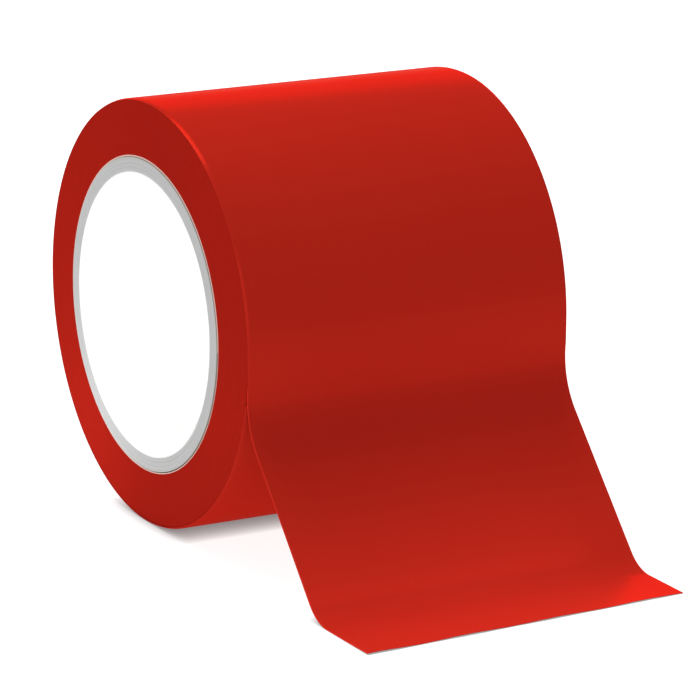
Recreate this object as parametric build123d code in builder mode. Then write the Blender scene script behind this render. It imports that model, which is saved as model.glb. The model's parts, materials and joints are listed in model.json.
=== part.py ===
"""A roll of duct tape on a paper core, with its free tail hanging to the floor.

The roll's axis lies along Y and the origin is at the middle of its bore. +Z is
up, and the tail leaves the front of the roll, towards +X. Sizes are in mm.
"""

import os
from math import cos, radians, sin, tan

from build123d import *

os.makedirs("parts", exist_ok=True)

# The core, a tube wound from paper plies, named from the bore outwards
bore_diameter = 76.2
liner_thickness = 0.4
board_thickness = 1.1
board_plies = ["core_board_inner", "core_board_middle", "core_board_outer"]
cover_thickness = 0.5
core_proud = 1.1  # how far the core stands out of the tape at each end
core_end_chamfer = 0.15

# The tape, a film on a cloth scrim with adhesive under it
tape_width = 96
film_thickness = 0.12
scrim_thickness = 0.06
adhesive_thickness = 0.12
roll_diameter = 115.6
turn_clearance = 0.06  # between the outer turn and the windings it slides round
winding_edge_chamfer = 0.2
winding_drift = 0.85  # how far the innermost turns sit towards -Y of the outer turn

# The tail, followed from where it leaves the roll to its cut end
peel_angle = 6  # below the horizontal, on the front of the roll
peel_radius = 21
tail_slope = 47.5
bend_radius = 12
foot_length = 18.7  # along the floor, at the middle of the width
cut_skew = 2.5
lip_length = 8  # of the tail that still belongs to the outer turn
flex_gap = 0.5  # left between panels where the tape flexes
layer_step_clearance = 0.3  # between the lip and the turn that ends under it

bore_radius = bore_diameter / 2
roll_radius = roll_diameter / 2
tape_thickness = film_thickness + scrim_thickness + adhesive_thickness
core_radius = bore_radius + liner_thickness + len(board_plies) * board_thickness + cover_thickness
core_length = tape_width + 2 * core_proud
winding_radius = roll_radius - tape_thickness - turn_clearance
floor_height = -roll_radius


def direction(angle):
    """Unit vector in the side view, at an angle in degrees from the front."""
    return Vector(cos(radians(angle)), sin(radians(angle)))


def save(piece, name):
    piece.part.label = name
    export_step(piece.part, f"parts/{name}.step")


# Core: plain tubes, one inside the other


def tube(name, inner_radius, outer_radius, length, end_chamfer=0):
    with BuildPart() as piece:
        with BuildSketch(Plane.XZ):
            Circle(outer_radius)
            Circle(inner_radius, mode=Mode.SUBTRACT)
        extrude(amount=length / 2, both=True)
        if end_chamfer:
            rims = piece.edges().filter_by(GeomType.CIRCLE)
            chamfer(rims.filter_by(lambda rim: rim.radius == outer_radius), end_chamfer)
    save(piece, name)


tube("core_liner", bore_radius, bore_radius + liner_thickness, core_length)
ply_radius = bore_radius + liner_thickness
for ply in board_plies:
    tube(ply, ply_radius, ply_radius + board_thickness, core_length)
    ply_radius += board_thickness
tube("core_cover", ply_radius, core_radius, core_length, core_end_chamfer)

# The wound turns have drifted along the core, so that their two ends are slightly conical
half_width = tape_width / 2
with BuildPart() as windings:
    with BuildSketch(Plane.XY):
        with BuildLine():
            Polyline(
                (core_radius, -half_width - winding_drift),
                (winding_radius, -half_width),
                (winding_radius, half_width),
                (core_radius, half_width - winding_drift),
                close=True,
            )
        make_face()
    revolve(axis=Axis.Y)
    rims = windings.edges().filter_by(GeomType.CIRCLE)
    chamfer(rims.filter_by(lambda rim: abs(rim.radius - winding_radius) < 0.01), winding_edge_chamfer)
save(windings, "tape_windings")

# The tape's path in the side view, along the outside of its film. It turns
# clockwise round the roll, leaves it on an arc that bends outwards, runs
# straight down and bends again to lie on the floor.

peel_centre = direction(-peel_angle) * (roll_radius + peel_radius)
peel_arc_start = 180 - peel_angle
peel_arc_end = 270 - tail_slope
lip_end_angle = peel_arc_start + lip_length / radians(1) / peel_radius
half_gap_angle = flex_gap / 2 / radians(1) / peel_radius

bend_centre_height = floor_height + tape_thickness + bend_radius
slope_start = peel_centre + direction(peel_arc_end) * peel_radius
slope_end_height = bend_centre_height - bend_radius * cos(radians(tail_slope))
slope_end = Vector(
    slope_start.X + (slope_start.Y - slope_end_height) / tan(radians(tail_slope)), slope_end_height
)
bend_centre = Vector(slope_end.X + bend_radius * sin(radians(tail_slope)), bend_centre_height)
bend_middle_angle = 270 - tail_slope / 2
half_bend_gap = flex_gap / 2 / radians(1) / bend_radius
foot_end = bend_centre.X + foot_length

# The turn under the lip ends where the lip's own underside has risen clear of it
lip_rise = tape_thickness + layer_step_clearance
closing_curvature = 1 / roll_radius + 1 / peel_radius
turn_end_angle = -peel_angle - (2 * lip_rise / closing_curvature) ** 0.5 / radians(1) / roll_radius


def arc_at(centre, radius, start, end):
    """Arc from one angle to another, drawn through the point half way."""
    middle = (start + end) / 2
    points = [centre + direction(angle) * radius for angle in (start, middle, end)]
    return ThreePointArc(*points)


def outer_turn_outline(depth):
    """The full turn, then the lip that leaves it, at a depth under the film."""
    ring = arc_at(Vector(0, 0), roll_radius - depth, 360 + turn_end_angle, -peel_angle)
    lip = arc_at(peel_centre, peel_radius + depth, peel_arc_start, lip_end_angle - half_gap_angle)
    return ring @ 0, lip @ 1


def tail_outline(depth):
    """The rest of the peel arc, the slope, and half of the bend."""
    radius = peel_radius + depth
    peel = arc_at(peel_centre, radius, lip_end_angle + half_gap_angle, peel_arc_end)
    bend_start = 270 - tail_slope
    bend_end = bend_middle_angle - half_bend_gap
    bend = arc_at(bend_centre, bend_radius + depth, bend_start, bend_end)
    Line(peel @ 1, bend @ 0)
    return peel @ 0, bend @ 1


def free_end_outline(depth):
    """The other half of the bend, and the foot along the floor."""
    bend = arc_at(bend_centre, bend_radius + depth, bend_middle_angle + half_bend_gap, 270)
    overrun = tape_width * tan(radians(cut_skew))
    foot = Line(bend @ 1, bend @ 1 + Vector(foot_length + overrun, 0))
    return bend @ 0, foot @ 1


cut_plane = Plane(origin=(foot_end, 0, 0), z_dir=(cos(radians(cut_skew)), sin(radians(cut_skew)), 0))

panels = {"outer_turn": outer_turn_outline, "tail": tail_outline, "free_end": free_end_outline}
layers = {"film": film_thickness, "scrim": scrim_thickness, "adhesive": adhesive_thickness}

for panel, outline in panels.items():
    outer_depth = 0
    for layer, thickness in layers.items():
        inner_depth = outer_depth + thickness
        with BuildPart() as strip:
            with BuildSketch(Plane.XZ):
                with BuildLine():
                    outer_start, outer_end = outline(outer_depth)
                    inner_start, inner_end = outline(inner_depth)
                    Line(outer_start, inner_start)
                    Line(outer_end, inner_end)
                make_face()
            extrude(amount=tape_width / 2, both=True)
            if panel == "free_end":
                split(bisect_by=cut_plane, keep=Keep.BOTTOM)
        save(strip, f"{panel}_{layer}")
        outer_depth = inner_depth
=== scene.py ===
import json
import math

import bmesh
import bpy
from mathutils import Matrix, Vector


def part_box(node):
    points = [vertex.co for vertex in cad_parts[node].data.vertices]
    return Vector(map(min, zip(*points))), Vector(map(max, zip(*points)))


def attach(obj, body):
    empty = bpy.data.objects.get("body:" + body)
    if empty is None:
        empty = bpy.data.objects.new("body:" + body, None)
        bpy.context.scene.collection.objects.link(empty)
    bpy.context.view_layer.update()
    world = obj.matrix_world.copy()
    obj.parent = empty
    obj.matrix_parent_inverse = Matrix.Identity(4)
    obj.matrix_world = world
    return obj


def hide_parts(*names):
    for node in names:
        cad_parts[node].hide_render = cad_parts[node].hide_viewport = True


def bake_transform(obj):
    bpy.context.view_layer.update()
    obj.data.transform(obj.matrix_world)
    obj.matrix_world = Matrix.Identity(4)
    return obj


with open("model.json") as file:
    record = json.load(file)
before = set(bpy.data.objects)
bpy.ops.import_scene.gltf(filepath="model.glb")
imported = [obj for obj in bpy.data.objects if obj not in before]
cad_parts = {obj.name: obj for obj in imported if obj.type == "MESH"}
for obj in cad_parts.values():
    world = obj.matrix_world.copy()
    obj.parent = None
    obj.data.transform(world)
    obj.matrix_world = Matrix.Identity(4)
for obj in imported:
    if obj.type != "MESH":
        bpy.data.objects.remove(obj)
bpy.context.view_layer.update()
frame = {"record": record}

mm = 0.001

# Sizes that the frame already holds

rollRadius = -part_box("outer_turn_film")[0].z
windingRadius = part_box("tape_windings")[1].z
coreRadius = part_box("core_cover")[1].z
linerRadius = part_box("core_liner")[1].z
boreRadius = frame["record"]["mounts"][0]["dims"]["r_mm"] * mm
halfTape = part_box("tape_windings")[1].y
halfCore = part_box("core_liner")[1].y
floorHeight = -rollRadius
print("frame read, roll radius", round(rollRadius, 4))


# Nodes and maths

class Wire:
    # a socket in a node tree, so that node maths reads as plain expressions
    def __init__(self, tree, socket=None):
        self.tree = tree
        self.socket = socket

    def add(self, kind, settings=None, inputs=None, output=0):
        node = self.tree.nodes.new(kind)
        for key, value in (settings or {}).items():
            if key == "stops":
                ramp = node.color_ramp
                while len(ramp.elements) < len(value):
                    ramp.elements.new(0.5)
                for element, (position, colour) in zip(ramp.elements, value):
                    element.position = position
                    element.color = colour
            else:
                setattr(node, key, value)
        for key, value in (inputs or {}).items():
            if isinstance(value, Wire):
                self.tree.links.new(value.socket, node.inputs[key])
            else:
                node.inputs[key].default_value = value
        return Wire(self.tree, node.outputs[output] if len(node.outputs) else None)

    def out(self, name):
        return Wire(self.tree, self.socket.node.outputs[name])

    def math(self, operation, *values):
        return self.add("ShaderNodeMath", {"operation": operation}, dict(enumerate(values)))

    def __add__(self, other):
        return self.math("ADD", self, other)

    def __sub__(self, other):
        return self.math("SUBTRACT", self, other)

    def __rsub__(self, other):
        return self.math("SUBTRACT", other, self)

    def __mul__(self, other):
        return self.math("MULTIPLY", self, other)

    def __truediv__(self, other):
        return self.math("DIVIDE", self, other)

    def __rtruediv__(self, other):
        return self.math("DIVIDE", other, self)

    __radd__ = __add__
    __rmul__ = __mul__


def newMaterial(name, recipe, **constants):
    material = bpy.data.materials.new(name)
    material.use_nodes = True
    material.node_tree.nodes.clear()
    tree = Wire(material.node_tree)
    shader = tree.add("ShaderNodeBsdfPrincipled", {}, {**constants, **recipe(tree)})
    tree.add("ShaderNodeOutputMaterial", {}, {"Surface": shader})
    return material


def mixColour(tree, factor, first, second):
    return tree.add(
        "ShaderNodeMix", {"data_type": "RGBA"}, {"Factor": factor, 6: first, 7: second}, output=2
    )


def noise(tree, vector, scale, detail=2.0, roughness=0.5):
    return tree.add(
        "ShaderNodeTexNoise",
        {},
        {"Vector": vector, "Scale": scale, "Detail": detail, "Roughness": roughness},
    )


def noiseAlong(tree, distance, scale, detail):
    return tree.add(
        "ShaderNodeTexNoise", {"noise_dimensions": "1D"}, {"W": distance, "Scale": scale, "Detail": detail}
    )


def bumped(tree, height, strength, distance):
    return tree.add("ShaderNodeBump", {}, {"Strength": strength, "Distance": distance, "Height": height})


def fromAxis(tree, place, across="X", upwards="Z"):
    parts = tree.add("ShaderNodeSeparateXYZ", {}, {"Vector": place})
    first, second = parts.out(across), parts.out(upwards)
    return tree.math("SQRT", first * first + second * second)


# Materials

filmLook = {
    "colour": (0.44, 0.0185, 0.0098, 1),
    "shade": (0.4, 0.0155, 0.0085, 1),
    "metallic": 0.12,
    "roughness": 0.23,
    "streaks": 0.05,  # how much the roughness changes in fine lines along the tape
    "streakScale": (12, 900, 1),
    "weftPrint": 2.5 * mm,  # spacing of the cloth that shows faintly through the film
    "warpPrint": 1.4 * mm,
    "emboss": 0.004 * mm,
    "edgeHighlight": (0.64, 0.031, 0.017, 1),  # painted highlight: the film is brighter along its slit edges, where they catch the light
    "edgeHighlightWidth": 0.14 * mm,
    "edgeHighlightOnRoll": 0.2,  # how much of that painted edge highlight shows where the tape is on the roll
}
glossTint = (1, 0.12, 0.08, 1)


def filmRecipe(tree):
    # the strip's own map: U runs along the tape and V across it, in metres
    strip = tree.add("ShaderNodeUVMap", {"uv_map": "strip"})
    lengthways = tree.add("ShaderNodeMapping", {}, {"Vector": strip, "Scale": filmLook["streakScale"]})
    streak = noise(tree, lengthways, 1.0, 3.0)
    broad = noise(tree, strip, 18.0, 2.0)
    flow = tree.add("ShaderNodeSeparateXYZ", {}, {"Vector": strip})
    along = flow.math("SINE", flow.out("X") * (2 * math.pi / filmLook["weftPrint"]))
    across = flow.math("SINE", flow.out("Y") * (2 * math.pi / filmLook["warpPrint"]))
    fine = noise(tree, strip, 2600.0, 2.0)
    weave = (along + across) * 0.25 + fine * 0.6
    body = mixColour(tree, broad * 0.7 + streak * 0.3, filmLook["colour"], filmLook["shade"])
    # painted highlight: a thin brighter line along both edges of the film, full strength on the tail and
    # weaker on the roll
    fromMiddle = tree.math("ABSOLUTE", flow.out("Y"))
    edgeHighlight = tree.math("GREATER_THAN", fromMiddle, halfTape - filmLook["edgeHighlightWidth"])
    offTheRoll = tree.math("GREATER_THAN", flow.out("X"), 0.0)
    edgeHighlight = edgeHighlight * (offTheRoll * (1 - filmLook["edgeHighlightOnRoll"]) + filmLook["edgeHighlightOnRoll"])
    colour = mixColour(tree, edgeHighlight, body, filmLook["edgeHighlight"])
    bump = bumped(tree, weave, 0.25, filmLook["emboss"])
    rough = streak * filmLook["streaks"] + broad * 0.04 + (filmLook["roughness"] - 0.04)
    return {"Base Color": colour, "Roughness": rough, "Normal": bump}


film = newMaterial(
    "redFilm",
    filmRecipe,
    **{"Metallic": filmLook["metallic"], "Specular IOR Level": 0.0, "Specular Tint": glossTint},
)

edgeLook = {
    "colour": (0.43, 0.0175, 0.0095, 1),
    "groove": (0.37, 0.014, 0.008, 1),
    "firstTurn": (0.82, 0.6, 0.54, 1),  # the pale start of the tape, stuck to the core
    "firstTurnWidth": 0.5 * mm,
    "turn": 0.3 * mm,
    "grain": 0.02 * mm,
    "roughness": 0.4,
}


def edgeRecipe(tree):
    # slit edges of the wound turns: tone changes from turn to turn, and slowly round the roll
    place = tree.add("ShaderNodeTexCoord").out("Object")
    radius = fromAxis(tree, place)
    perTurn = noiseAlong(tree, radius / edgeLook["turn"], 0.9, 2.0)
    slow = noise(tree, place, 22.0, 3.0)
    grain = noise(tree, place, 1500.0, 2.0)
    tone = perTurn * 0.55 + slow * 0.45
    wound = mixColour(tree, tone, edgeLook["colour"], edgeLook["groove"])
    first = tree.math("LESS_THAN", radius, coreRadius + edgeLook["firstTurnWidth"])
    colour = mixColour(tree, first, wound, edgeLook["firstTurn"])
    bump = bumped(tree, grain + perTurn, 0.3, edgeLook["grain"])
    rough = slow * 0.1 + (edgeLook["roughness"] - 0.05)
    return {"Base Color": colour, "Roughness": rough, "Normal": bump}


woundEdge = newMaterial(
    "woundTapeEdge",
    edgeRecipe,
    **{"Metallic": 0.1, "Specular IOR Level": 0.0, "Specular Tint": glossTint},
)

adhesiveLook = {
    "colour": (0.66, 0.65, 0.61, 1),
    "tired": (0.55, 0.54, 0.5, 1),
    "pores": 0.03 * mm,
    "roughness": 0.34,
}


def adhesiveRecipe(tree):
    strip = tree.add("ShaderNodeUVMap", {"uv_map": "strip"})
    blotch = noise(tree, strip, 60.0, 4.0, 0.6)
    pores = noise(tree, strip, 1400.0, 3.0)
    colour = mixColour(tree, blotch, adhesiveLook["colour"], adhesiveLook["tired"])
    bump = bumped(tree, pores + blotch, 0.6, adhesiveLook["pores"])
    rough = blotch * 0.3 + (adhesiveLook["roughness"] - 0.15)
    return {"Base Color": colour, "Roughness": rough, "Normal": bump}


adhesive = newMaterial("greyAdhesive", adhesiveRecipe, **{"Specular IOR Level": 0.45})

yarnLook = {"colour": (0.8, 0.78, 0.72, 1), "shade": (0.62, 0.6, 0.55, 1), "fibre": 0.02 * mm}


def yarnRecipe(tree):
    place = tree.add("ShaderNodeTexCoord").out("Object")
    fibre = noise(tree, place, 5200.0, 3.0, 0.6)
    colour = mixColour(tree, fibre, yarnLook["colour"], yarnLook["shade"])
    bump = bumped(tree, fibre, 0.7, yarnLook["fibre"])
    return {"Base Color": colour, "Roughness": fibre * 0.2 + 0.6, "Normal": bump}


yarn = newMaterial("cottonYarn", yarnRecipe, **{"Sheen Weight": 0.2, "Specular IOR Level": 0.3})

paperLooks = {
    "whiteLiner": {
        "colour": (0.95, 0.95, 0.945, 1),
        "shade": (0.9, 0.9, 0.89, 1),
        "fibre": 0.01 * mm,
        "rough": 0.7,
    },
    "greyBoard": {
        "colour": (0.58, 0.58, 0.585, 1),
        "shade": (0.5, 0.5, 0.495, 1),
        "fibre": 0.03 * mm,
        "rough": 0.85,
    },
    "paleBoard": {
        "colour": (0.6, 0.6, 0.59, 1),
        "shade": (0.52, 0.52, 0.5, 1),
        "fibre": 0.02 * mm,
        "rough": 0.8,
    },
}
coverSideKraftAndShade = {"colour": (0.3, 0.26, 0.22, 1), "depth": 0.09 * mm}  # the outside of the outermost ply, painted dark brown: partly the ply's own kraft colour, partly painted shade on the core's side where it stands proud of the tape


def paperMaterial(name, side=None):
    look = paperLooks[name]

    def recipe(tree):
        place = tree.add("ShaderNodeTexCoord").out("Object")
        cloudy = noise(tree, place, 90.0, 4.0, 0.6)
        fibres = noise(tree, place, 1900.0, 5.0, 0.7)
        specks = tree.math("GREATER_THAN", noise(tree, place, 700.0, 2.0), 0.68)
        tone = cloudy * 0.45 + fibres * 0.35 + specks * 0.2
        colour = mixColour(tree, tone, look["colour"], look["shade"])
        if side:
            # painted shade and kraft colour: a dark brown band on the ply's outside, where the core stands
            # proud of the tape
            kraftAndShadeBand = tree.math("GREATER_THAN", fromAxis(tree, place), coreRadius - side["depth"])
            colour = mixColour(tree, kraftAndShadeBand, colour, side["colour"])
        bump = bumped(tree, fibres + cloudy, 0.6, look["fibre"])
        rough = cloudy * 0.15 + (look["rough"] - 0.07)
        return {"Base Color": colour, "Roughness": rough, "Normal": bump}

    return newMaterial(name, recipe, **{"Specular IOR Level": 0.2})


whiteLiner = paperMaterial("whiteLiner")
greyBoard = paperMaterial("greyBoard")
paleBoard = paperMaterial("paleBoard", coverSideKraftAndShade)
print("materials made", len(bpy.data.materials))


# Making pieces

def newPiece(name, mesh, material=None, creaseAngle=35):
    if material:
        mesh.materials.clear()
        mesh.materials.append(material)
    mesh.polygons.foreach_set("use_smooth", [True] * len(mesh.polygons))
    mesh.set_sharp_from_angle(angle=math.radians(creaseAngle))
    piece = bpy.data.objects.new(name, mesh)
    bpy.context.scene.collection.objects.link(piece)
    return piece


def standsFor(piece, body, node):
    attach(piece, body)
    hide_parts(node)
    return piece


def faceOutwards(mesh, merge=True):
    shape = bmesh.new()
    shape.from_mesh(mesh)
    if merge:
        bmesh.ops.remove_doubles(shape, verts=shape.verts, dist=1e-8)
    bmesh.ops.recalc_face_normals(shape, faces=shape.faces)
    shape.to_mesh(mesh)
    shape.free()


coreSegments = 256


def turned(name, outline, material, turnsOfTwist=0.0, groove=None):
    # a closed outline of (radius, y) points carried round the roll's axis
    span = max(y for _, y in outline) - min(y for _, y in outline)
    vertices, faces = [], []
    for i in range(coreSegments):
        for radius, y in outline:
            turn = i / coreSegments + turnsOfTwist * y / span
            if groove and groove(i, radius):
                radius = groove(i, radius)
            angle = 2 * math.pi * turn
            vertices.append((radius * math.cos(angle), y, radius * math.sin(angle)))
    count = len(outline)
    for i in range(coreSegments):
        for j in range(count):
            here, after = i * count, (i + 1) % coreSegments * count
            faces.append((here + j, here + (j + 1) % count, after + (j + 1) % count, after + j))
    mesh = bpy.data.meshes.new(name)
    mesh.from_pydata(vertices, [], faces)
    faceOutwards(mesh)
    return newPiece(name, mesh, material)


def roundedWall(inner, outer, halfLength, edge, steps=3):
    # outline of a tube's wall with its four edges rounded
    corners = [
        (inner + edge, -halfLength + edge, 180),
        (outer - edge, -halfLength + edge, 270),
        (outer - edge, halfLength - edge, 0),
        (inner + edge, halfLength - edge, 90),
    ]
    outline = []
    for radius, y, start in corners:
        for step in range(steps + 1):
            angle = math.radians(start + 90 * step / steps)
            outline.append((radius + edge * math.cos(angle), y + edge * math.sin(angle)))
    return outline


# Core

core = {
    "linerEdge": 0.12 * mm,
    "boardEdge": 0.1 * mm,
    "boardSetBack": (0.0, 0.05, 0.02),  # how far each ply's cut end sits behind the others
    "coverEdge": 0.12 * mm,
    "coverSetBack": 0.03 * mm,
    "linerRows": 48,
    "seamDepth": 0.09 * mm,
    "seamTurns": 1.0,  # how far the liner's butt joint winds round the bore along the core
}


def linerWall():
    outline = roundedWall(boreRadius, linerRadius, halfCore, core["linerEdge"])
    reach = halfCore - core["linerEdge"]
    rows = core["linerRows"]
    return outline + [(boreRadius, reach - 2 * reach * k / rows) for k in range(1, rows)]


def linerSeam(i, radius):
    # the liner is a wound strip, and its two edges meet in a fine helical groove
    onBore = radius < boreRadius + 0.01 * mm
    depth = {0: 1.0, 1: 0.35, coreSegments - 1: 0.35}.get(i, 0)
    return radius + depth * core["seamDepth"] if onBore else radius


liner = turned(
    "coreLiner", linerWall(), whiteLiner, turnsOfTwist=core["seamTurns"], groove=linerSeam
)
standsFor(liner, "roll", "core_liner")

plyInner = linerRadius
for index, node in enumerate(("core_board_inner", "core_board_middle", "core_board_outer")):
    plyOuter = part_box(node)[1].z
    wall = roundedWall(plyInner, plyOuter, halfCore - core["boardSetBack"][index] * mm, core["boardEdge"])
    board = turned("coreBoard" + node.split("_")[-1].capitalize(), wall, greyBoard)
    standsFor(board, "roll", node)
    plyInner = plyOuter

coverWall = roundedWall(plyInner, coreRadius, halfCore - core["coverSetBack"], core["coverEdge"])
cover = turned("coreCover", coverWall, paleBoard)
standsFor(cover, "roll", "core_cover")
print("core made")


# Windings: one strip of tape, swept along a spiral from the core outwards

windings = {
    "pitch": 0.3 * mm,
    "slitEdge": 0.035 * mm,  # rounding of each turn's edges
    "wander": 0.04 * mm,  # how far a turn may sit out of line with the next
    "drift": 0.85 * mm,  # how far the innermost turns sit towards -Y of the outermost
    "rimSetBack": 0.9 * mm,  # of the outermost turn, under the rounded rim
    "pointsPerTurn": 128,
    "seed": 4.0,
}


def startTree(title, inputs):
    group = bpy.data.node_groups.new(title, "GeometryNodeTree")
    group.interface.new_socket(name="Geometry", in_out="OUTPUT", socket_type="NodeSocketGeometry")
    names = {}
    for name, kind in inputs.items():
        socket = group.interface.new_socket(name=name, in_out="INPUT", socket_type="NodeSocket" + kind)
        names[name] = socket.identifier
    tree = Wire(group)
    return group, names, tree, tree.add("NodeGroupInput")


def endTree(tree, shape, given):
    whole = tree.add("GeometryNodeRealizeInstances", {}, {"Geometry": shape})
    painted = tree.add(
        "GeometryNodeSetMaterial", {}, {"Geometry": whole, "Material": given.out("Material")}
    )
    tree.add("NodeGroupOutput", {}, {"Geometry": painted})


def makeWoundStripTree():
    sizes = ("Inner Radius", "Outer Radius", "Pitch", "Width", "Slit Edge", "Wander", "Drift", "Seed")
    inputs = dict.fromkeys(sizes + ("Rim Set Back",), "Float")
    inputs["Points Per Turn"] = "Int"
    inputs["Material"] = "Material"
    group, names, tree, given = startTree("woundStrip", inputs)
    pitch = given.out("Pitch")
    first = given.out("Inner Radius") + pitch * 0.5
    last = given.out("Outer Radius") - pitch * 0.5
    turns = (last - first) / pitch
    spiral = tree.add(
        "GeometryNodeCurveSpiral",
        {},
        {
            "Resolution": given.out("Points Per Turn"),
            "Rotations": turns,
            "Start Radius": first,
            "End Radius": last,
            "Height": 0.0,
            "Reverse": True,
        },
    )
    level = tree.add("GeometryNodeSetCurveNormal", {"mode": "Z_UP"}, {"Curve": spiral})
    reached = tree.add("GeometryNodeSplineParameter").out("Factor")
    wobble = noiseAlong(tree, reached * turns + given.out("Seed"), 1.3, 3.0)
    sideways = (wobble - 0.5) * 2.0 * given.out("Wander") + (1 - reached) * given.out("Drift")
    offset = tree.add("ShaderNodeCombineXYZ", {}, {"Z": sideways})
    wandering = tree.add("GeometryNodeSetPosition", {}, {"Geometry": level, "Offset": offset})
    section = tree.add(
        "GeometryNodeCurvePrimitiveQuadrilateral",
        {"mode": "RECTANGLE"},
        {"Width": pitch * 0.995, "Height": given.out("Width")},
    )
    rounded = tree.add(
        "GeometryNodeFilletCurve",
        {"mode": "POLY"},
        {"Curve": section, "Radius": given.out("Slit Edge"), "Count": 1},
    )
    strip = tree.add(
        "GeometryNodeCurveToMesh", {}, {"Curve": wandering, "Profile Curve": rounded, "Fill Caps": True}
    )
    # the outermost turn's edges are drawn in, so that the roll's rims can be rounded over them
    place = tree.add("GeometryNodeInputPosition")
    height = tree.add("ShaderNodeSeparateXYZ", {}, {"Vector": place}).out("Z")
    share = 1 - (given.out("Outer Radius") - fromAxis(tree, place, "X", "Y")) / pitch
    outermost = tree.math("MINIMUM", tree.math("MAXIMUM", share, 0.0), 1.0)
    inwards = outermost * given.out("Rim Set Back") * height / given.out("Width") * -2.0
    drawnIn = tree.add("ShaderNodeCombineXYZ", {}, {"Z": inwards})
    rounder = tree.add("GeometryNodeSetPosition", {}, {"Geometry": strip, "Offset": drawnIn})
    stood = tree.add(
        "GeometryNodeTransform", {}, {"Geometry": rounder, "Rotation": (math.pi / 2, 0, 0)}
    )
    endTree(tree, stood, given)
    return group, names


def grown(name, base, tree, values, creaseAngle=35):
    # runs a geometry tree on a base mesh and keeps the result as a plain mesh
    group, names = tree
    maker = bpy.data.objects.new(name + "Maker", base)
    bpy.context.scene.collection.objects.link(maker)
    modifier = maker.modifiers.new("make", "NODES")
    modifier.node_group = group
    for key, value in values.items():
        modifier[names[key]] = value
    graph = bpy.context.evaluated_depsgraph_get()
    mesh = bpy.data.meshes.new_from_object(maker.evaluated_get(graph))
    mesh.name = name
    maker.modifiers.clear()
    bpy.data.objects.remove(maker)
    faceOutwards(mesh)
    return newPiece(name, mesh, None, creaseAngle)


woundStrip = grown(
    "tapeWindings",
    bpy.data.meshes.new("windingsBase"),
    makeWoundStripTree(),
    {
        "Inner Radius": coreRadius,
        "Outer Radius": windingRadius,
        "Pitch": windings["pitch"],
        "Width": 2 * halfTape,
        "Slit Edge": windings["slitEdge"],
        "Wander": windings["wander"],
        "Drift": windings["drift"],
        "Rim Set Back": windings["rimSetBack"],
        "Seed": windings["seed"],
        "Points Per Turn": windings["pointsPerTurn"],
        "Material": woundEdge,
    },
)
standsFor(woundStrip, "roll", "tape_windings")
print("windings made,", len(woundStrip.data.polygons), "faces")


# The strip's path: distances run along the tape from the line where it leaves the roll,
# negative round the roll and positive down the tail

path = {
    "peelAngle": 6.0,
    "peelRadius": 21 * mm,
    "slope": 47.5,
    "bendRadius": 12 * mm,
    "tapeThickness": 0.3 * mm,
    "cutSkew": 2.5,
    "cutWaves": ((0.06 * mm, 290, 0), (0.03 * mm, 930, 1)),  # height, rate across the tape, phase
    "rippleHeight": 0.25 * mm,
    "rippleSpacing": 26.4 * mm,
    "ripplePlace": 17.8 * mm,
    "twist": 0.9 * mm,
    "straightStep": 2.0 * mm,
    "bendStep": 0.6 * mm,
    "rollStep": 2.4 * mm,
    "rimWidth": 1.1 * mm,  # of the rounded shoulder along each rim of the roll
    "rimSlump": 0.3 * mm,
    "rimFade": 5 * mm,  # before the line where the tail leaves the roll
}
peelArc = path["peelRadius"] * math.radians(90 + path["peelAngle"] - path["slope"])
bendArc = path["bendRadius"] * math.radians(path["slope"])


def fromAngle(degrees):
    return Vector((math.cos(math.radians(degrees)), 0, math.sin(math.radians(degrees))))


peelCentre = fromAngle(-path["peelAngle"]) * (rollRadius + path["peelRadius"])
slopeStart = peelCentre + fromAngle(270 - path["slope"]) * path["peelRadius"]
bendDrop = path["bendRadius"] * (1 - math.cos(math.radians(path["slope"])))
slopeEndHeight = floorHeight + path["tapeThickness"] + bendDrop
slopeLength = (slopeStart.z - slopeEndHeight) / math.sin(math.radians(path["slope"]))
slopeEnd = slopeStart + fromAngle(-path["slope"]) * slopeLength
bendStart = peelArc + slopeLength
footStart = bendStart + bendArc
bendRun = path["bendRadius"] * math.sin(math.radians(path["slope"]))
footHeel = slopeEnd + Vector((bendRun, 0, -bendDrop))
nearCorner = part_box("free_end_film")[1].x
skewTan = math.tan(math.radians(path["cutSkew"]))
footLength = nearCorner - halfTape * skewTan - footHeel.x


def stripPoint(distance):
    # place and heading of the film's outer face at a distance along the strip
    if distance < 0:
        angle = -path["peelAngle"] - math.degrees(distance / rollRadius)
        return fromAngle(angle) * rollRadius, angle - 90
    if distance < peelArc:
        turn = math.degrees(distance / path["peelRadius"])
        radial = fromAngle(180 - path["peelAngle"] + turn)
        return peelCentre + radial * path["peelRadius"], turn - 90 - path["peelAngle"]
    if distance < bendStart:
        return slopeStart + fromAngle(-path["slope"]) * (distance - peelArc), -path["slope"]
    if distance < footStart:
        turn = math.degrees((distance - bendStart) / path["bendRadius"])
        centre = slopeEnd - fromAngle(270 - path["slope"]) * path["bendRadius"]
        return centre + fromAngle(270 - path["slope"] + turn) * path["bendRadius"], turn - path["slope"]
    return footHeel + Vector((distance - footStart, 0, 0)), 0.0


def lift(distance, y):
    # the free end doesn't lie quite flat: ripples across it rise off the floor towards the cut
    share = max(0.0, (distance - footStart) / footLength)
    ripple = 0.5 * (1 + math.cos(2 * math.pi * (y + path["ripplePlace"]) / path["rippleSpacing"]))
    return path["rippleHeight"] * share ** 2 * ripple


def twist(distance, y):
    # the tail runs out a little further on its far side than on its near one
    share = min(1.0, max(0.0, distance / bendStart))
    return path["twist"] * share * (0.5 + 0.5 * y / halfTape)


def slump(distance, y):
    # the roll's two rims are rounded, where the outer turn sags over the turns under it
    past = max(0.0, abs(y) - halfTape + path["rimWidth"]) / path["rimWidth"]
    share = min(1.0, max(0.0, -distance / path["rimFade"]))
    return path["rimSlump"] * past ** 2 * share * share * (3 - 2 * share)


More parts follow.
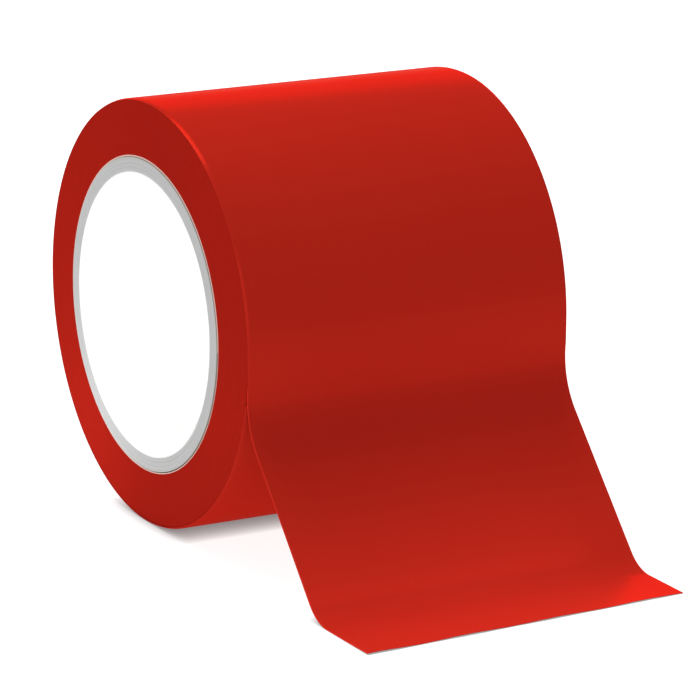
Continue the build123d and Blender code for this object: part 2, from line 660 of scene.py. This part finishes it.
def layerPoint(distance, y, depth):
    point, heading = stripPoint(distance)
    outward = fromAngle(heading + 90)
    place = point - outward * (depth + slump(distance, y))
    return Vector((place.x + twist(distance, y), y, place.z + lift(distance, y)))


def cutDistance(y):
    # how far the strip reaches at a place across it: a skew cut by hand, a little uneven
    wave = sum(height * math.sin(y * rate + phase) for height, rate, phase in path["cutWaves"])
    return footStart + footLength - y * skewTan + wave - twist(bendStart, y)


def distances(start, end):
    # closer together where the strip bends
    steps = []
    here = start
    while here < end - 1e-9:
        steps.append(here)
        if peelArc + 2 * mm < here < bendStart - 2 * mm:
            here += path["straightStep"]
        else:
            here += path["bendStep"] if here > -1 * mm else path["rollStep"]
    if end - steps[-1] < 0.2 * mm:
        steps.pop()
    return steps + [end]


def layerMesh(name, start, end, depths, look, spaces, inset=0.0, lip=0.0, cut=False):
    # one layer of the strip as a closed sheet between two depths under the film's face;
    # a lip turns its two long edges down over the layers under it
    rows = distances(start, end)
    half = halfTape - inset
    inner = half - look["edgeColumns"][-1]
    near = [half] + [half - step for step in look["edgeColumns"][:-1]]
    columns = [-y for y in near] + [-inner + 2 * inner * j / spaces for j in range(spaces + 1)]
    columns += near[::-1]
    across = len(columns) - 1
    vertices, strip, faces = [], [], []
    for layerDepth in depths:
        for distance in rows:
            for y in columns:
                atEdge = abs(y) > half - 0.05 * mm and layerDepth == depths[1]
                depth = layerDepth + (lip if atEdge else 0.0)
                reach = distance
                if cut and distance > footStart:
                    share = (distance - footStart) / (end - footStart)
                    reach = footStart + share * (cutDistance(y) - 4 * inset - footStart)
                vertices.append(layerPoint(reach, y, depth))
                strip.append((reach, y))
    wide, under = len(columns), len(rows) * len(columns)
    for i in range(len(rows) - 1):
        for j in range(across):
            a = i * wide + j
            faces.append((a, a + 1, a + wide + 1, a + wide))
            faces.append((under + a, under + a + wide, under + a + wide + 1, under + a + 1))
    border = list(range(across)) + [i * wide + across for i in range(len(rows) - 1)]
    border += [(len(rows) - 1) * wide + j for j in range(across, 0, -1)]
    border += [i * wide for i in range(len(rows) - 1, 0, -1)]
    for k, here in enumerate(border):
        after = border[(k + 1) % len(border)]
        faces.append((here, under + here, under + after, after))
    mesh = bpy.data.meshes.new(name)
    mesh.from_pydata(vertices, [], faces)
    layer = mesh.uv_layers.new(name="strip")
    for loop in mesh.loops:
        layer.data[loop.index].uv = strip[loop.vertex_index]
    faceOutwards(mesh, merge=False)
    return mesh


# Scrim: warp and weft yarns, each a fine tube, pressed into the adhesive

scrim = {
    "warpSpacing": 1.4 * mm,
    "weftSpacing": 2.5 * mm,
    "yarnRadius": 0.065 * mm,
    "depth": 0.235 * mm,
    "sides": 5,
    "inset": 0.12 * mm,  # of the scrim and the adhesive, from the film's edges
    "cutInset": 0.5 * mm,
    "spansAcross": 38,  # of each weft yarn between the rims, and on each rim
    "rimSpans": 4,
}


def makeYarnTree():
    group, names, tree, given = startTree(
        "yarnsFromLines",
        {"Lines": "Geometry", "Yarn Radius": "Float", "Sides": "Int", "Material": "Material"},
    )
    lines = tree.add("GeometryNodeMeshToCurve", {}, {"Mesh": given.out("Lines")})
    circle = tree.add(
        "GeometryNodeCurvePrimitiveCircle",
        {},
        {"Resolution": given.out("Sides"), "Radius": given.out("Yarn Radius")},
    )
    tubes = tree.add(
        "GeometryNodeCurveToMesh", {}, {"Curve": lines, "Profile Curve": circle, "Fill Caps": True}
    )
    endTree(tree, tubes, given)
    return group, names


def yarnLines(name, start, end, cut=False):
    # the yarns' centre lines as loose edges, warp along the strip and weft across it
    vertices, edges = [], []
    half = halfTape - scrim["inset"] - scrim["yarnRadius"]

    def addLine(points):
        first = len(vertices)
        vertices.extend(points)
        edges.extend((first + k, first + k + 1) for k in range(len(points) - 1))

    warps = int(2 * half / scrim["warpSpacing"])
    for k in range(warps + 1):
        y = (k - warps / 2) * scrim["warpSpacing"]
        stop = cutDistance(y) - scrim["cutInset"] if cut else end
        addLine([layerPoint(d, y, scrim["depth"]) for d in distances(start, stop)])
    first = math.ceil(start / scrim["weftSpacing"])
    shortest = cutDistance(half) if cut else end
    last = math.floor((shortest - 0.2 * mm) / scrim["weftSpacing"])
    for k in range(first, last + 1):
        distance = k * scrim["weftSpacing"]
        flat = halfTape - path["rimWidth"]
        spans, rimSpans = scrim["spansAcross"], scrim["rimSpans"]
        rim = [half - step * (half - flat) / rimSpans for step in range(rimSpans)]
        middle = [-flat + 2 * flat * j / spans for j in range(spans + 1)]
        span = [-y for y in rim] + middle + rim[::-1]
        addLine([layerPoint(distance, y, scrim["depth"]) for y in span])
    mesh = bpy.data.meshes.new(name)
    mesh.from_pydata(vertices, edges, [])
    return mesh


# Strip pieces: the outer turn, the tail and the free end, each in its three layers

strips = {
    "turnEnd": 4.6 * mm,  # how far short of a full turn the outer turn's inner end stops
    "seamOnTurn": 4.0 * mm,  # the tail's pieces start here, on the lip that belongs to the outer turn
    "seamOnSlope": (peelArc + bendStart) / 2,
    "liftBlend": (4.0 * mm, 13.0 * mm),
    "curlBlend": (-5.0 * mm, 5.0 * mm),
    "filmDepth": (0.0, 0.12 * mm),
    "filmSpaces": 30,  # between the mesh's columns across the tape
    "adhesiveSpaces": 14,
}
rollLook = {
    "title": "outerTurn",
    "adhesiveDepth": (0.12 * mm, 0.34 * mm),  # the scrim is sunk into the adhesive
    "adhesive": woundEdge,
    "inset": 0.0,
    "lip": 0.0,
    "edgeColumns": [step * mm for step in (0.15, 0.3, 0.45, 0.6, 0.8, 1.0, 1.25)],
}
looseLook = {
    "adhesiveDepth": (0.18 * mm, 0.26 * mm),
    "adhesive": adhesive,
    "inset": scrim["inset"],
    "lip": 0.14 * mm,
    "edgeColumns": [0.1 * mm],
}
looks = {
    "outer_turn": rollLook,
    "tail": {**looseLook, "title": "tail"},
    "free_end": {**looseLook, "title": "freeEnd"},
}
turnStart = -2 * math.pi * rollRadius + strips["turnEnd"]
bendMiddle = (bendStart + footStart) / 2
spans = {
    "outer_turn": (turnStart, strips["seamOnTurn"], False),
    "tail": (strips["seamOnTurn"], strips["seamOnSlope"], False),
    "free_end": (strips["seamOnSlope"], footStart + footLength, True),
}


def insideStrip(distance):
    return layerPoint(distance, 0, path["tapeThickness"] / 2)


blends = {
    "tail": ("outer_turn", [insideStrip(d) for d in strips["liftBlend"]]),
    "free_end": ("tail", [insideStrip(bendMiddle + d) for d in strips["curlBlend"]]),
}
yarnTree = makeYarnTree()

for body, (start, end, cut) in spans.items():
    look = looks[body]
    title = look["title"]
    filmMesh = layerMesh(
        title + "Film",
        start,
        end,
        strips["filmDepth"],
        look,
        strips["filmSpaces"],
        lip=look["lip"],
        cut=cut,
    )
    adhesiveMesh = layerMesh(
        title + "Adhesive",
        start,
        end,
        look["adhesiveDepth"],
        look,
        strips["adhesiveSpaces"],
        inset=look["inset"],
        cut=cut,
    )
    yarnValues = {"Yarn Radius": scrim["yarnRadius"], "Sides": scrim["sides"], "Material": yarn}
    lines = yarnLines(title + "Lines", start, end, cut)
    pieces = {
        "film": newPiece(title + "Film", filmMesh, film),
        "adhesive": newPiece(title + "Adhesive", adhesiveMesh, look["adhesive"]),
        "scrim": grown(title + "Scrim", lines, yarnTree, yarnValues, creaseAngle=60),
    }
    for layer, piece in pieces.items():
        if body in blends:
            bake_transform(piece)
        else:
            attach(piece, body)
        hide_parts(body + "_" + layer)
    if body != "outer_turn":
        end - start
        "hung" if body == "tail" else "laid"
        "outerTurnFilm" if body == "tail" else "tailFilm"
    print(title, "made, yarn faces", len(pieces["scrim"].data.polygons))


# Studio

studio = {
    "floorSize": 8.0,
    "floorColour": (0.28, 0.28, 0.28, 1),
    "floorShade": (0.26, 0.26, 0.26, 1),
    "floorGlow": 0.9,
    "contact": 4.5 * mm,  # how far the shade reaches from where the object stands
    "contactShade": (0.2, 0.2, 0.2, 1),
    "world": 0.4,
    "lights": {
        "top": {"place": (-0.36, 0.0, 1.1), "aim": (0, 0, 0), "size": (0.7, 0.7), "power": 13},
        "front": {"place": (1.4, -0.5, 0.5), "aim": (0, 0, 0), "size": (1.0, 1.0), "power": 5.5},
        "back": {"place": (-0.95, 0.53, 0.32), "aim": (0, 0, 0), "size": (1.1, 0.58), "power": 8.5},
        "low": {
            "place": (-0.035, -0.085, -0.04),
            "aim": (-0.035, -0.048, -0.036),
            "size": (0.02, 0.02),
            "power": 0.006,
        },
        "foot": {
            "place": (0.117, -0.008, -0.025),
            "aim": (0.117, -0.008, -0.06),
            "size": (0.03, 0.12),
            "power": 0.015,
        },
        "bore": {"place": (0, 0.035, 0), "aim": (0, 0, 0), "size": (0.05, 0.05), "power": 0.02},
    },
}


def floorRecipe(tree):
    place = tree.add("ShaderNodeTexCoord").out("Object")
    tone = noise(tree, place, 3.0, 2.0)
    colour = mixColour(tree, tone, studio["floorColour"], studio["floorShade"])
    near = tree.add("ShaderNodeAmbientOcclusion", {"samples": 8}, {"Distance": studio["contact"]}, output=1)
    glow = mixColour(tree, near, studio["contactShade"], (1, 1, 1, 1))
    return {"Base Color": colour, "Emission Color": glow}


floorHalf = studio["floorSize"] / 2
floorMesh = bpy.data.meshes.new("studioFloor")
floorCorners = ((-1, -1), (1, -1), (1, 1), (-1, 1))
floorMesh.from_pydata(
    [(x * floorHalf, y * floorHalf, floorHeight) for x, y in floorCorners], [], [(0, 1, 2, 3)]
)
floor = bpy.data.objects.new("studioFloor", floorMesh)
paleFloor = newMaterial(
    "paleFloor",
    floorRecipe,
    **{"Roughness": 0.9, "Specular IOR Level": 0.0, "Emission Strength": studio["floorGlow"]},
)
floorMesh.materials.append(paleFloor)
bpy.context.scene.collection.objects.link(floor)

world = bpy.data.worlds.new("studioWorld")
world.use_nodes = True
background = world.node_tree.nodes["Background"]
background.inputs["Color"].default_value = (1, 1, 1, 1)
background.inputs["Strength"].default_value = studio["world"]
bpy.context.scene.world = world
bpy.context.scene.view_settings.view_transform = "Standard"

for name, light in studio["lights"].items():
    data = bpy.data.lights.new(name, "AREA")
    data.shape = "RECTANGLE"
    data.size, data.size_y = light["size"]
    data.energy = light["power"]
    lamp = bpy.data.objects.new(name, data)
    lamp.location = light["place"]
    facing = Vector(light["aim"]) - Vector(light["place"])
    lamp.rotation_euler = facing.to_track_quat("-Z", "Y").to_euler()
    lamp.visible_camera = False
    bpy.context.scene.collection.objects.link(lamp)

camera = {
    "azimuth": 60.97,
    "elevation": 14.8,
    "roll": 0.7,
    "distance": 1.176,
    "aimRight": 0.0125,
    "aimDown": 0.0152,
    "lens": 222.6,
}
a, e, r = (math.radians(camera[key]) for key in ("azimuth", "elevation", "roll"))
back = Vector((math.sin(a) * math.cos(e), -math.cos(a) * math.cos(e), math.sin(e)))
level = Vector((math.cos(a), math.sin(a), 0))
upright = back.cross(level)
right = level * math.cos(r) + upright * math.sin(r)
up = upright * math.cos(r) - level * math.sin(r)
aim = right * camera["aimRight"] - up * camera["aimDown"]
eye = back * camera["distance"]
sight = (eye - aim).normalized()
side = up.cross(sight).normalized()
top = sight.cross(side)
lens = bpy.data.cameras.new("studioCamera")
lens.lens = camera["lens"]
lens.sensor_width = 36
lens.clip_start = 0.05
viewer = bpy.data.objects.new("studioCamera", lens)
viewer.matrix_world = Matrix.Translation(eye) @ Matrix((side, top, sight)).transposed().to_4x4()
bpy.context.scene.collection.objects.link(viewer)
bpy.context.scene.camera = viewer
print("studio made")
